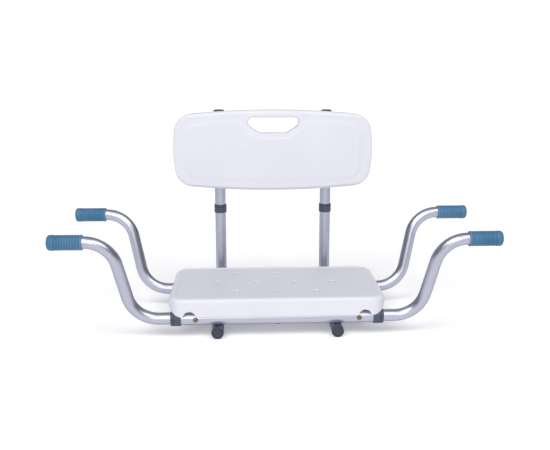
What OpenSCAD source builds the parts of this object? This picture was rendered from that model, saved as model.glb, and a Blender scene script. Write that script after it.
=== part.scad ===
// Bath transfer bench: a moulded seat board on two crossways tubes, four bent arms whose grips
// lie on the rims of a bath, two L-shaped support tubes and a backrest that plugs into them.
// The origin is on the floor, below the middle of the whole bench. +Y points to the backrest.

/* [Cross tubes and arms] */
// Outer diameter of the two tubes that cross below the seat
cross_d = 25.4; // [25.4, 28.6]
// Outer diameter of arms, support tubes and backrest posts
tube_d = 22.2; // [22.2]
// Wall of the arms, support tubes and posts
tube_wall = 1.5; // [1.2:0.1:1.8]
// Radial clearance between a cross tube and the arm inside it
slide_gap = 0.08; // [0.05:0.01:0.1]
// Distance from the front cross tube to the rear one
cross_spacing = 183.4; // [175:0.2:200]
// Distance from the middle to each end of a cross tube
cross_reach = 196; // [190:1:205]
// Distance from the middle to where an arm starts to bend
arm_bend_x = 221; // [216:1:240]
// Bend radius of the arms, to the tube's axis
arm_bend_r = 57.2; // [50:0.2:62]
// Angle that each arm bend turns through
arm_turn = 77.6; // [70:0.2:90]
// Straight length between an arm's two bends
arm_leg = 68.3; // [40:0.1:110]
// Overall half width of the bench, to the end of a grip
arm_reach = 410.5; // [410.5:0.5:430]
// Lean of the arms, forward at the front and back at the rear
arm_lean = 9.6; // [0:0.2:15]
// Distance from the middle to an arm's inner end
arm_inner_x = 117.5; // [117:0.5:119]
// How far an arm pulls out
arm_travel = 25; // [15:1:25]

/* [Grips and collars] */
// Outer diameter of a grip over its ribs
grip_d = 28.4; // [27:0.2:32]
// Length of a grip
grip_len = 62; // [50:1:62]
// Number of ribs on a grip
grip_ribs = 9; // [5:1:11]
// Outer diameter of the collars on the cross tubes
collar_d = 29.6; // [29:0.1:30]
// Length of those collars
collar_len = 19.5; // [17:0.5:24]

/* [Lock buttons] */
// Distance from the middle to each lock button
button_x = 153; // [151:0.5:155]
// Diameter of a lock button
button_d = 9.4; // [8:0.2:9.6]
// How far a button stands out of its tube
button_out = 3.4; // [2.5:0.1:4]
// Width of the spring strip under a button
clip_w = 8; // [6:0.5:8]

/* [Seat board] */
// Width of the seat board
seat_w = 408; // [404:1:414]
// Overhang of the seat in front of and behind the cross tubes' axes
seat_overhang = 16.5; // [16.5:0.5:20]
// Height of the seat's lower edge above the cross tubes' axes
seat_low = 5; // [3:0.5:6]
// Height of the seat board, from lower edge to rim
seat_h = 36; // [34:1:44]
// Depth of the recessed top panel below the rim
panel_sink = 1; // [0.5:0.1:1.5]
// Wall of the hollow seat and backrest mouldings
skin = 3; // [2.5:0.5:4]
// Diameter of the drain holes
drain_d = 10.6; // [8:0.2:12]
// Spacing of the drain holes along a row
drain_pitch = 76.8; // [70:0.2:80]
// Spacing of the drain rows
row_pitch = 60; // [50:1:62]
// Distance from the middle to each arched channel under the seat
arch_x = 164; // [160:1:168]
// Radius of the arched channels
arch_r = 12; // [10:0.5:13]

/* [Support tubes and backrest] */
// Distance from the middle to each support tube
post_x = 112.4; // [112:0.1:112.8]
// Distance from the front cross tube back to the posts
post_y = 247.2; // [240:0.2:260]
// Bend radius of the support tubes, to the tube's axis
post_bend_r = 57; // [50:1:65]
// Distance from the front cross tube forward to the plugs' faces
foot_reach = 20.5; // [18:0.5:30]
// Diameter of the plugs at the front of the support tubes
foot_d = 23; // [22.6:0.2:24]
// Length of those plugs outside the tube
foot_len = 7; // [5:0.5:8]
// Height of the post collars' lower edge above the cross tubes' axes
post_collar_low = 150; // [130:1:155]
// Length of the post collars
post_collar_len = 18; // [16:1:24]
// Outer diameter of the post collars
post_collar_d = 26; // [25:0.5:28]
// Length of backrest post inside each support tube
spigot_len = 100; // [80:1:110]
// Height of the posts' upper ends above the cross tubes' axes
post_top = 362; // [350:1:362]
// Width of the backrest
back_w = 414; // [400:2:430]
// Height of the backrest
back_h = 166.6; // [160:0.2:175]
// Height of the backrest's lower edge above the cross tubes' axes
back_low = 203; // [200:1:210]
// Distance from the front cross tube back to the backrest's front face
back_front = 212; // [208:0.5:216]
// Thickness of the backrest
back_t = 28; // [24:1:30]
// Corner radius of the backrest
back_corner = 29; // [26:1:34]
// Rise of the backrest's curved upper and lower edges
back_crown = 11; // [8:1:13]
// Rise of its curved side edges
back_bulge = 9.5; // [6:0.5:10.5]

/* [Hidden] */
$fn = 96;

facet_fn = 32;
eps = 0.02;
// Cutters reach this far past what they cut
over = 1;
push_gap = 0.05;
// An arm's straight leg reaches this far into its bends, and is this much thinner
weld = 1;
weld_step = 0.05;

cross_r = cross_d / 2;
tube_r = tube_d / 2;
bore_r = tube_r - tube_wall;
grip_r = grip_d / 2;
grip_wall_end = 2.8;
rib_depth = 0.8;
grip_nose_r = 5;
grip_smooth = 14;
rib_zone = grip_len - grip_smooth;
// Where a rib's crest starts and stops and where its flank ends, as shares of the rib spacing
rib_shape = [0.2, 0.7, 0.9];
collar_lip = 3.5;
collar_edge = 0.8;
collar_in = cross_reach - (collar_len - collar_lip);

// Screws: shank, clearance hole, head, and the boss of plastic around each
bolt_r = 3;
bolt_hole_r = 3.2;
bolt_head_r = 5.5;
bolt_head_h = 3.6;
bolt_boss_r = 9;
insert_r = 5;
insert_len = 14;
insert_sink = 1;
screw_r = 2.4;
screw_hole_r = 2.6;
screw_head_r = 4.6;
screw_head_h = 2.5;
screw_boss_r = 6;
seat_screw_head_r = 5;
seat_screw_head_h = 3;

// Support tubes lie against the undersides of the cross tubes
support_z = -(cross_r + tube_r);
support_bend_y = post_y - post_bend_r;
support_in_collar = 12;
support_top = post_collar_low + support_in_collar;
post_collar_top = post_collar_low + post_collar_len;
spigot_r = bore_r - slide_gap;
spigot_wall = 1.4;
post_step = 4;
access_r = 6.5;
washer_r = 6.2;
washer_offset = 7.4;
washer_low = support_z + washer_offset;
foot_edge = 1.2;
foot_plug_gap = 0.5;
foot_plug_in = foot_reach - foot_len - access_r - foot_plug_gap;
post_collar_edge = 1.5;

// Arm path in its own plane: x along the cross tube, z up
arm_top_x = arm_bend_x + 2 * arm_bend_r * sin(arm_turn) + arm_leg * cos(arm_turn);
arm_top_z = 2 * arm_bend_r * (1 - cos(arm_turn)) + arm_leg * sin(arm_turn);

// Lock button and spring strip, measured outward from the tube's axis
button_r = button_d / 2;
button_hole_r = button_r + 0.15;
button_low = 7;
button_dome = 1.6;
clip_t = 0.6;
clip_leg = 24;
clip_far = 8.3;

// Seat
seat_d = cross_spacing + 2 * seat_overhang;
seat_mid_y = cross_spacing / 2;
seat_top = seat_low + seat_h;
seat_plan_r = 30;
seat_edge_r = 12;
seat_edge_wide = 1.25;
seat_corner_r = 23;
seat_bow = 0.3;
seat_bow_share = 0.4;
seat_plan_taper = 0.6;
panel_rim_x = 16;
panel_rim_y = 14;
panel_w = seat_w - 2 * panel_rim_x;
panel_d = seat_d - 2 * panel_rim_y;
panel_r = 22;
drain_shift = 1.5;
drain_wall = 2.4;
channel_r = cross_r + 0.1;
collar_channel_r = collar_d / 2 + 0.2;
collar_channel_gap = 0.5;

// Backrest
back_mid_z = back_low + back_h / 2;
back_edge_r = 6;
groove_r = tube_r + 0.1;
slot_margin = 15;
slot_top = back_low + back_h - slot_margin;
slot_h = 33;
slot_upper_r = 11;
slot_upper_x = 41.6;
slot_lower_r = 9;
slot_lower_x = 25;
screw_heights = [255, 312];
screw_tip_in = 10;
screw_tip_y = back_front + screw_tip_in;
cap_h = 6.5;
cap_dome = 2;
cap_plug_len = 14;

// Where the floor and the middle of the bench lie
floor_z = support_z - foot_d / 2;
front_y = -(arm_top_z * sin(arm_lean) + grip_r);
back_y = post_y + tube_r + screw_head_h;
mid_y = (front_y + back_y) / 2;

ALUMINIUM = [0.78, 0.78, 0.84];
WHITE = [0.91, 0.91, 0.95];
BLUE = [0.27, 0.48, 0.64];
SLATE = [0.25, 0.31, 0.38];
RUBBER = [0.2, 0.2, 0.26];
BRASS = [0.66, 0.47, 0.27];
STEEL = [0.6, 0.6, 0.63];

// Moves a piece from the front cross tube's frame to the bench's own frame
module placed() translate([0, -mid_y, -floor_z]) children();

// One of four arms: side is 1 on the right and -1 on the left, rear is 0 or 1
module quarter(side, rear)
  placed() translate([0, rear * cross_spacing, 0])
    mirror([side < 0 ? 1 : 0, 0, 0]) mirror([0, rear, 0]) children();

// One of two posts
module half(side) placed() mirror([side < 0 ? 1 : 0, 0, 0]) children();

module along_x(x) translate([x, 0, 0]) rotate([0, 90, 0]) children();
module along_y(y) translate([0, y, 0]) rotate([-90, 0, 0]) children();

// A cap of a ball, standing on z = 0
module dome(r, h) {
  ball_r = (r * r + h * h) / (2 * h);
  intersection() {
    cylinder(h = h, r = r);
    translate([0, 0, h - ball_r]) sphere(r = ball_r);
  }
}

// ---- Seat board ----

module rounded_rect(w, d, r) {
  square([w - 2 * r, d], center = true);
  square([w, d - 2 * r], center = true);
  for (x = [-1, 1], y = [-1, 1]) translate([x * (w / 2 - r), y * (d / 2 - r)]) circle(r = r);
}

// Pillowed block with its upper edge rounded; shrink makes the hollow inside it
module seat_block(shrink) {
  low = seat_low + shrink;
  top = seat_top - shrink;
  levels = concat(
    [[low, seat_bow], [low + seat_bow_share * (top - low), 0]],
    [for (a = [0:15:90]) [top - seat_edge_r * (1 - sin(a)), seat_bow + seat_edge_r * (1 - cos(a))]]
  );
  hull() for (level = levels) translate([0, seat_mid_y, level[0] - eps]) linear_extrude(eps)
    rounded_rect(
      seat_w - 2 * (shrink + seat_edge_wide * level[1]),
      seat_d - 2 * (shrink + level[1]),
      seat_plan_r - shrink - seat_plan_taper * level[1],
      $fn = facet_fn
    );
}

// Front view of the seat with its two lower corners rounded
module seat_front_view(shrink) {
  r = seat_corner_r - shrink;
  edge = seat_w / 2 - shrink;
  low = seat_low + shrink;
  difference() {
    translate([-edge, low - eps]) square([2 * edge, seat_top]);
    for (s = [-1, 1]) difference() {
      translate([s * (edge - r / 2 + over), low + r / 2 - over])
        square(r + 2 * over, center = true);
      translate([s * (edge - r), low + r]) circle(r = r);
    }
  }
}

module seat_body(shrink) intersection() {
  seat_block(shrink);
  along_y(seat_mid_y - seat_d / 2 - over) mirror([0, 1, 0]) linear_extrude(seat_d + 2 * over)
    seat_front_view(shrink);
}

module drain_places()
  for (row = [-1:1], i = [0:3]) if (row == 0 || i < 3)
    translate([(i - (row == 0 ? 1.5 : 1)) * drain_pitch, seat_mid_y + drain_shift + row * row_pitch, 0])
      children();

module cross_places() for (y = [0, cross_spacing]) translate([0, y, 0]) children();

// Channels below the seat: two for the cross tubes, two arched ones from front to back
module seat_channels(grow) {
  collar_room = collar_in - collar_channel_gap;
  cross_places() {
    along_x(-seat_w / 2 - over) cylinder(h = seat_w + 2 * over, r = channel_r + grow);
    for (m = [0, 1]) mirror([m, 0, 0]) along_x(collar_room)
      cylinder(h = seat_w / 2 + over - collar_room, r = collar_channel_r + grow);
  }
  for (s = [-1, 1]) translate([s * arch_x, 0, seat_low]) along_y(-seat_overhang - over)
    cylinder(h = seat_d + 2 * over, r = arch_r + grow);
}

module fixing_places() for (x = [-post_x, 0, post_x]) cross_places() translate([x, 0, 0]) children();

module seat_board() color(WHITE) placed() difference() {
  seat_body(0);
  difference() {
    seat_body(skin);
    seat_channels(skin);
    drain_places() cylinder(h = seat_top, r = drain_d / 2 + drain_wall);
    fixing_places() cylinder(h = seat_top, r = bolt_boss_r);
    translate([0, 0, seat_top - panel_sink - skin]) cylinder(h = seat_h, r = seat_w);
  }
  seat_channels(0);
  drain_places() cylinder(h = seat_top + over, r = drain_d / 2);
  fixing_places() cylinder(h = cross_r + insert_len + insert_sink, r = insert_r + push_gap);
  translate([0, seat_mid_y, seat_top - panel_sink]) linear_extrude(seat_h)
    rounded_rect(panel_w, panel_d, panel_r);
}

// ---- Cross tubes, arms, grips and collars ----

module cross_tube(rear) color(ALUMINIUM) placed() translate([0, rear * cross_spacing, 0]) difference() {
  along_x(-cross_reach) cylinder(h = 2 * cross_reach, r = cross_r);
  along_x(-cross_reach - over) cylinder(h = 2 * (cross_reach + over), r = tube_r + slide_gap);
  for (x = [-post_x, 0, post_x]) translate([x, 0, -cross_d]) cylinder(h = 2 * cross_d, r = bolt_hole_r);
  for (x = [-button_x, button_x])
    translate([x, 0, 0]) mirror([0, rear, 0]) rotate([90, 0, 0]) cylinder(h = cross_d, r = button_hole_r);
}

// The arm's path as a rod of radius r
module arm_rod(r, start, tip) {
  bend_1 = [arm_bend_x + arm_bend_r * sin(arm_turn), arm_bend_r * (1 - cos(arm_turn))];
  along_x(start) cylinder(h = arm_bend_x - start, r = r);
  translate([arm_bend_x, 0, arm_bend_r]) rotate([90, 0, 0]) rotate([0, 0, -90])
    rotate_extrude(angle = arm_turn) translate([arm_bend_r, 0]) circle(r = r);
  translate([bend_1[0], 0, bend_1[1]]) rotate([0, 90 - arm_turn, 0]) translate([0, 0, -weld])
    cylinder(h = arm_leg + 2 * weld, r = r - weld_step);
  translate([arm_top_x, 0, arm_top_z - arm_bend_r]) rotate([90, 0, 0]) rotate([0, 0, 90])
    rotate_extrude(angle = arm_turn) translate([arm_bend_r, 0]) circle(r = r);
  translate([0, 0, arm_top_z]) along_x(arm_top_x) cylinder(h = tip - arm_top_x, r = r);
}

// Slot in the arm's wall that the lock button runs in
module arm_slot() {
  slot_in = button_x - arm_travel;
  for (x = [slot_in, button_x])
    translate([x, 0, 0]) rotate([90, 0, 0]) cylinder(h = cross_d, r = button_hole_r);
  translate([slot_in, -cross_d, -button_hole_r]) cube([arm_travel, cross_d, 2 * button_hole_r]);
}

module arm(side, rear) color(ALUMINIUM) quarter(side, rear) difference() {
  rotate([arm_lean, 0, 0]) difference() {
    arm_rod(tube_r, arm_inner_x, arm_reach - grip_wall_end);
    arm_rod(bore_r, arm_inner_x - over, arm_reach - grip_wall_end + over);
  }
  arm_slot();
}

// Half outline of a grip: a ribbed sleeve with a smooth, rounded, closed end
module grip_outline() {
  pitch = rib_zone / grip_ribs;
  nose = grip_nose_r;
  polygon(concat(
    [[tube_r + push_gap, 0]],
    [for (i = [0:grip_ribs - 1]) each [
      [grip_r - rib_depth, i * pitch],
      [grip_r, i * pitch + rib_shape[0] * pitch],
      [grip_r, i * pitch + rib_shape[1] * pitch],
      [grip_r - rib_depth, i * pitch + rib_shape[2] * pitch]
    ]],
    [[grip_r - rib_depth, rib_zone], [grip_r, rib_zone + rib_depth]],
    [for (a = [0:15:90]) [grip_r - nose + nose * cos(a), grip_len - nose + nose * sin(a)]],
    [[0, grip_len], [0, grip_len - grip_wall_end + push_gap]],
    [[tube_r + push_gap, grip_len - grip_wall_end + push_gap]]
  ));
}

module grip(side, rear) color(BLUE) quarter(side, rear) rotate([arm_lean, 0, 0])
  translate([0, 0, arm_top_z]) along_x(arm_reach - grip_len) rotate_extrude() grip_outline();

// Collar over a cross tube's end, with a lip that guides the arm
module collar(side, rear) color(SLATE) quarter(side, rear) {
  outer = collar_d / 2;
  lip_in = collar_len - collar_lip;
  along_x(collar_in) rotate_extrude() polygon([
    [cross_r + push_gap, 0], [outer - collar_edge, 0], [outer, collar_edge],
    [outer, collar_len - collar_edge], [outer - collar_edge, collar_len],
    [tube_r + slide_gap, collar_len], [tube_r + slide_gap, lip_in], [cross_r + push_gap, lip_in]
  ]);
}

// ---- Lock buttons and their spring strips ----

module button(side, rear) color(BRASS) quarter(side, rear) translate([button_x, 0, 0]) rotate([90, 0, 0]) {
  barrel_top = cross_r + button_out - button_dome;
  translate([0, 0, button_low]) cylinder(h = barrel_top - button_low, r = button_r);
  translate([0, 0, barrel_top]) dome(button_r, button_dome);
}

// U-shaped strip inside the arm: one leg under the button, the other on the far wall
module clip(side, rear) color(STEEL) quarter(side, rear)
  translate([button_x, 0, -clip_w / 2]) mirror([0, 1, 0]) linear_extrude(clip_w) {
    bend_out = (button_low + clip_far) / 2;
    start = -button_r;
    translate([start, button_low - clip_t]) square([clip_leg - start, clip_t]);
    translate([start, -clip_far]) square([clip_leg - start, clip_t]);
    translate([clip_leg, button_low - bend_out]) intersection() {
      difference() {
        circle(r = bend_out);
        circle(r = bend_out - clip_t);
      }
      translate([0, -cross_r]) square([cross_r, cross_d]);
    }
  }

// ---- Support tubes ----

// The support tube's path as a rod: along the floor, round the bend and up
module support_rod(r, front, top) {
  bend_z = support_z + post_bend_r;
  translate([post_x, 0, support_z]) along_y(front) cylinder(h = support_bend_y - front, r = r);
  translate([post_x, support_bend_y, bend_z]) rotate([90, 0, 90]) rotate([0, 0, -90])
    rotate_extrude(angle = 90) translate([post_bend_r, 0]) circle(r = r);
  translate([post_x, post_y, bend_z]) cylinder(h = top - bend_z, r = r);
}

module support_tube(side) color(ALUMINIUM) half(side) difference() {
  support_rod(tube_r, foot_len - foot_reach, support_top);
  support_rod(bore_r, foot_len - foot_reach - over, support_top + over);
  translate([post_x, 0, 0]) cross_places() {
    translate([0, 0, support_z]) cylinder(h = tube_d, r = bolt_hole_r);
    translate([0, 0, support_z - tube_d]) cylinder(h = tube_d, r = access_r);
  }
}

module foot_plug(side) color(RUBBER) half(side)
  translate([post_x, 0, support_z]) along_y(-foot_reach) rotate_extrude() polygon([
    [0, 0], [foot_d / 2 - foot_edge, 0], [foot_d / 2, foot_edge], [foot_d / 2, foot_len],
    [bore_r - push_gap, foot_len], [bore_r - push_gap, foot_len + foot_plug_in - 1],
    [bore_r - 1, foot_len + foot_plug_in], [0, foot_len + foot_plug_in]
  ]);

module post_collar(side) color(SLATE) half(side)
  translate([post_x, post_y, post_collar_low]) rotate_extrude() polygon([
    [tube_r + push_gap, 0], [post_collar_d / 2 - 1, 0], [post_collar_d / 2, 1],
    [post_collar_d / 2, post_collar_len - post_collar_edge],
    [post_collar_d / 2 - post_collar_edge, post_collar_len],
    [spigot_r + slide_gap, post_collar_len], [spigot_r + slide_gap, support_top - post_collar_low],
    [tube_r + push_gap, support_top - post_collar_low]
  ]);

module support_bolts() color(STEEL) for (side = [-1, 1]) half(side)
  translate([post_x, 0, 0]) cross_places() {
    translate([0, 0, washer_low]) cylinder(h = cross_r + insert_len - insert_sink - washer_low, r = bolt_r);
    translate([0, 0, washer_low - bolt_head_h]) cylinder(h = bolt_head_h, r = bolt_head_r, $fn = 6);
  }

// Washers with a curved upper side that fits the inside of the support tube
module saddle_washers() color(STEEL) for (side = [-1, 1]) half(side)
  translate([post_x, 0, 0]) cross_places() intersection() {
    translate([0, 0, washer_low]) difference() {
      cylinder(h = tube_d, r = washer_r);
      translate([0, 0, -over]) cylinder(h = tube_d + 2 * over, r = bolt_hole_r);
    }
    translate([0, 0, support_z]) along_y(-tube_d) cylinder(h = 2 * tube_d, r = bore_r - push_gap);
  }

module seat_screws() color(STEEL) placed() cross_places() {
  translate([0, 0, -cross_r]) cylinder(h = cross_d + insert_len - insert_sink, r = bolt_r);
  translate([0, 0, -cross_r]) rotate([180, 0, 0]) dome(seat_screw_head_r, seat_screw_head_h);
}

module threaded_inserts() color(BRASS) placed() fixing_places()
  translate([0, 0, cross_r + insert_sink]) difference() {
    cylinder(h = insert_len - insert_sink, r = insert_r);
    translate([0, 0, -over]) cylinder(h = insert_len + over, r = bolt_r + push_gap);
  }

// ---- Backrest ----

function corner_points(w, h, r, n) = [
  for (q = [0:3], i = [0:n]) let (a = 90 * (q + i / n))
    [
      (q == 0 || q == 3 ? 1 : -1) * (w / 2 - r) + r * cos(a),
      (q < 2 ? 1 : -1) * (h / 2 - r) + r * sin(a)
    ]
];

// Fills each long straight side with points, so that it can be curved
function filled(points, n) = [
  for (i = [0:len(points) - 1]) let (a = points[i], b = points[(i + 1) % len(points)])
    for (k = [0:(norm(b - a) > back_corner ? n - 1 : 0)]) a + (b - a) * k / n
];

// Curves the straight edges outward without moving their middles
function crowned(p) = [
  p[0] * (1 - back_bulge / (back_w / 2) * pow(p[1] / (back_h / 2), 2)),
  p[1] * (1 - back_crown / (back_h / 2) * pow(p[0] / (back_w / 2), 2))
];

module back_outline(inset)
  polygon([
    for (p = filled(corner_points(back_w - 2 * inset, back_h - 2 * inset, back_corner - inset, 6), 8))
      crowned(p)
  ]);

// Slab with rounded edges, standing with its front face at back_front
module back_slab() {
  edge = back_edge_r;
  levels = concat(
    [for (a = [0:30:90]) [back_front + edge * (1 - sin(a)), edge * (1 - cos(a))]],
    [for (a = [90:-30:0]) [back_front + back_t - edge * (1 - sin(a)), edge * (1 - cos(a))]]
  );
  hull() for (level = levels) translate([0, level[0], back_mid_z]) rotate([90, 0, 0])
    linear_extrude(eps, center = true) back_outline(level[1]);
}

// The room between the slab's walls
module back_hollow() translate([0, back_front + back_t - skin, back_mid_z]) rotate([90, 0, 0])
  linear_extrude(back_t - 2 * skin) back_outline(skin + 1);

// Hand slot, wider at the top: four arcs joined by straight edges
function slot_points(grow) =
  let (
    upper = [slot_upper_x, slot_top - slot_upper_r],
    lower = [slot_lower_x, slot_top - slot_h + slot_lower_r],
    way = upper - lower,
    side = atan2(way[1], way[0]) - acos((slot_lower_r - slot_upper_r) / norm(way)),
    arc = function(c, r, from, to) [for (i = [0:6]) c + (r + grow) * [cos(from + (to - from) * i / 6),
      sin(from + (to - from) * i / 6)]]
  )
  concat(
    arc(upper, slot_upper_r, side, 90), arc([-upper[0], upper[1]], slot_upper_r, 90, 180 - side),
    arc([-lower[0], lower[1]], slot_lower_r, 180 - side, 270), arc(lower, slot_lower_r, 270, 360 + side)
  );

module slot_prism(grow) translate([0, back_front + back_t + over, 0]) rotate([90, 0, 0])
  linear_extrude(back_t + 2 * over) polygon(slot_points(grow));

module post_lines(r) for (s = [-1, 1]) translate([s * post_x, post_y, back_low - over])
  cylinder(h = back_h + 2 * over, r = r);

module screw_places() for (s = [-1, 1], z = screw_heights) translate([s * post_x, 0, z]) children();

module backrest_board() color(WHITE) placed() difference() {
  back_slab();
  difference() {
    back_hollow();
    slot_prism(skin);
    post_lines(groove_r + skin);
    screw_places() along_y(back_front) cylinder(h = back_t, r = screw_boss_r);
  }
  slot_prism(0);
  post_lines(groove_r);
  screw_places() along_y(screw_tip_y - over) cylinder(h = back_t, r = screw_r + push_gap);
}

module backrest_post(side) color(ALUMINIUM) half(side) translate([post_x, post_y, 0]) difference() {
  union() {
    translate([0, 0, post_collar_top]) cylinder(h = post_top - post_collar_top, r = tube_r);
    translate([0, 0, post_collar_top - spigot_len]) cylinder(h = spigot_len + 1, r = spigot_r);
  }
  translate([0, 0, post_collar_top - spigot_len - over])
    cylinder(h = spigot_len + post_step + 2 * over, r = spigot_r - spigot_wall);
  translate([0, 0, post_collar_top + post_step]) cylinder(h = post_top, r = bore_r);
  for (z = screw_heights) translate([0, 0, z]) along_y(-tube_d) cylinder(h = 2 * tube_d, r = screw_hole_r);
}

module post_cap(side) color(RUBBER) half(side) translate([post_x, post_y, post_top]) {
  cylinder(h = cap_h - cap_dome, r = tube_r);
  translate([0, 0, cap_h - cap_dome]) dome(tube_r, cap_dome);
  translate([0, 0, -cap_plug_len]) cylinder(h = cap_plug_len + 1, r = bore_r - push_gap);
}

module backrest_screws() color(STEEL) placed() screw_places() {
  along_y(screw_tip_y) cylinder(h = post_y + tube_r - screw_tip_y, r = screw_r);
  along_y(post_y + tube_r) dome(screw_head_r, screw_head_h);
}

seat_board();
cross_tube(0);  // front_cross_tube
cross_tube(1);  // rear_cross_tube
arm(-1, 0);  // front_left_arm
arm(1, 0);  // front_right_arm
arm(-1, 1);  // rear_left_arm
arm(1, 1);  // rear_right_arm
grip(-1, 0);  // front_left_grip
grip(1, 0);  // front_right_grip
grip(-1, 1);  // rear_left_grip
grip(1, 1);  // rear_right_grip
collar(-1, 0);  // front_left_collar
collar(1, 0);  // front_right_collar
collar(-1, 1);  // rear_left_collar
collar(1, 1);  // rear_right_collar
button(-1, 0);  // front_left_button
button(1, 0);  // front_right_button
button(-1, 1);  // rear_left_button
button(1, 1);  // rear_right_button
clip(-1, 0);  // front_left_clip
clip(1, 0);  // front_right_clip
clip(-1, 1);  // rear_left_clip
clip(1, 1);  // rear_right_clip
support_tube(-1);  // left_support_tube
support_tube(1);  // right_support_tube
foot_plug(-1);  // left_foot_plug
foot_plug(1);  // right_foot_plug
post_collar(-1);  // left_post_collar
post_collar(1);  // right_post_collar
backrest_board();
backrest_post(-1);  // left_backrest_post
backrest_post(1);  // right_backrest_post
post_cap(-1);  // left_post_cap
post_cap(1);  // right_post_cap
backrest_screws();
support_bolts();
saddle_washers();
seat_screws();
threaded_inserts();
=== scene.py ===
"""Looks of a bath transfer bench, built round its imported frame. Metres, +Z up, +Y towards the backrest."""

import math

import bmesh
import bpy
import numpy as np
from mathutils import Matrix, Vector


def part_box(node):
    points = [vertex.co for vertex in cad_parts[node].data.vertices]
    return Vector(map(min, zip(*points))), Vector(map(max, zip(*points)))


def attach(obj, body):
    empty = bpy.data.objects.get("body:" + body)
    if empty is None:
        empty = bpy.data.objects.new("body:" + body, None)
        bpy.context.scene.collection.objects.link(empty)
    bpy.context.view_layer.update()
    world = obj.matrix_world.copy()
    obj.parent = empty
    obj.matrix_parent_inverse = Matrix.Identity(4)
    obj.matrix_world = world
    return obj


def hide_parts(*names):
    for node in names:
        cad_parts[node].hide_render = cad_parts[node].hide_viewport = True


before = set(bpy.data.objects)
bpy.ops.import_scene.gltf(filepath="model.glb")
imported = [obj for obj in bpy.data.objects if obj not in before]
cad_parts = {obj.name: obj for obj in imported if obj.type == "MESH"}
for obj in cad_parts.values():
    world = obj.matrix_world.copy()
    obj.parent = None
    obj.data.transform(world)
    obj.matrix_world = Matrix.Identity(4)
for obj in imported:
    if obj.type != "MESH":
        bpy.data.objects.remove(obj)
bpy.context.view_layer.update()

MM = 0.001
# A face whose normal is this upright is shaded flat
LEVEL_FACE = 0.9999
QUARTERS = [("front_left", -1, 0), ("front_right", 1, 0), ("rear_left", -1, 1), ("rear_right", 1, 1)]
SIDES = [("left", -1), ("right", 1)]

# Camera, in the bench's own frame
CAMERA_AT = Vector((-0.0557, -1.4458, 0.5194))
CAMERA_YAW = -0.054
CAMERA_PITCH = 0.228
CAMERA_ROLL = 0.003
CAMERA_LENS = 49.08
CAMERA_SHIFT = (-0.0211, 0.0031)

# Brightness of the studio: backdrop, ceiling, and shares of it at the sides and in front
HORIZON = 1.02
ZENITH = 0.42
SIDE_SHADE = 0.30
FRONT_SHADE = 0.45
FLOOR_GLOW = 0.16
FLOOR_REACH = 30.0
# Name, place that it shines from, angle in degrees and power
SOFT_LIGHTS = [
    ("soft_box", (-1.0, -1.2, 1.9), 40, 1.4),
    ("soft_box", (1.0, -1.2, 1.9), 40, 1.2),
    ("front_fill", (-0.25, -3.0, 1.3), 30, 0.75),
]

# Sizes that the frame's boxes don't give
TUBE_R = 11.1 * MM
CROSS_R = 12.7 * MM
ARM_LEAN = math.radians(9.6)
ARM_BEND_X = 221 * MM
ARM_BEND_R = 57.2 * MM
ARM_TURN = 77.6
ARM_LEG = 68.3 * MM
ARM_WALL = 1.5 * MM
BEND_STEPS = 24
BUTTON_X = 153 * MM
BUTTON_HOLE_R = 4.85 * MM
ARM_TRAVEL = 25 * MM
SKIN_EDGE = 3 * MM
SEAT_CORNER_R = 23 * MM
SEAT_PLAN_R = 30 * MM
SEAT_EDGE_R = 7 * MM
SEAT_EDGE_WIDE = 1.25
SEAT_DRAFT = 0.5 * MM
SEAT_STEPS = (10, 48, 26)
SEAT_LIP = [(-0.6, 0.0), (-0.2, 0.12), (0.1, 0.45), (0.4, 0.85), (0.8, 1.08), (1.3, 1.1), (6.0, 1.1)]
PANEL_INSET = (12.5 * MM, 10 * MM)
PANEL_SINK = 1.1 * MM
DRAIN_R = 5.3 * MM
DRAIN_PITCH = 76.8 * MM
ROW_PITCH = 60 * MM
DRAIN_SHIFT = 1.5 * MM
ARCH_X = 164 * MM
ARCH_R = 12 * MM
BACK_CORNER = 29 * MM
BACK_CROWN = 11 * MM
BACK_BULGE = 9.5 * MM
BACK_EDGE = 6 * MM
SLOT_DROP = 15 * MM
SLOT_H = 33 * MM


# ---- Mesh helpers ----


def new_object(name, mesh):
    obj = bpy.data.objects.new(name, mesh)
    bpy.context.scene.collection.objects.link(obj)
    return obj


def mesh_object(name, verts, faces, smooth_deg=40):
    """An object from points and faces, with its normals made to point outward."""
    mesh = bpy.data.meshes.new(name)
    mesh.from_pydata([tuple(v) for v in verts], [], faces)
    tidy_mesh(mesh, smooth_deg)
    return new_object(name, mesh)


def tidy_mesh(mesh, smooth_deg):
    bm = bmesh.new()
    bm.from_mesh(mesh)
    bmesh.ops.remove_doubles(bm, verts=bm.verts, dist=1e-6)
    bmesh.ops.triangulate(bm, faces=[face for face in bm.faces if len(face.verts) > 4])
    groups = {}
    for face in bm.faces:
        groups.setdefault(frozenset(face.verts), []).append(face)
    doubled = [face for group in groups.values() if len(group) > 1 for face in group]
    bmesh.ops.delete(bm, geom=doubled, context="FACES")
    bmesh.ops.recalc_face_normals(bm, faces=bm.faces)
    limit = math.radians(smooth_deg)
    for face in bm.faces:
        face.smooth = abs(face.normal.z) < LEVEL_FACE
    for edge in bm.edges:
        edge.smooth = len(edge.link_faces) == 2 and edge.calc_face_angle(0) < limit
    bm.to_mesh(mesh)
    bm.free()


def ring_faces(rings, per_ring, closed=False):
    """Quads between rings of points that follow each other in one list."""
    faces = []
    for k in range(rings if closed else rings - 1):
        a, b = k * per_ring, (k + 1) % rings * per_ring
        for i in range(per_ring):
            j = (i + 1) % per_ring
            faces.append((a + i, a + j, b + j, b + i))
    return faces


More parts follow.
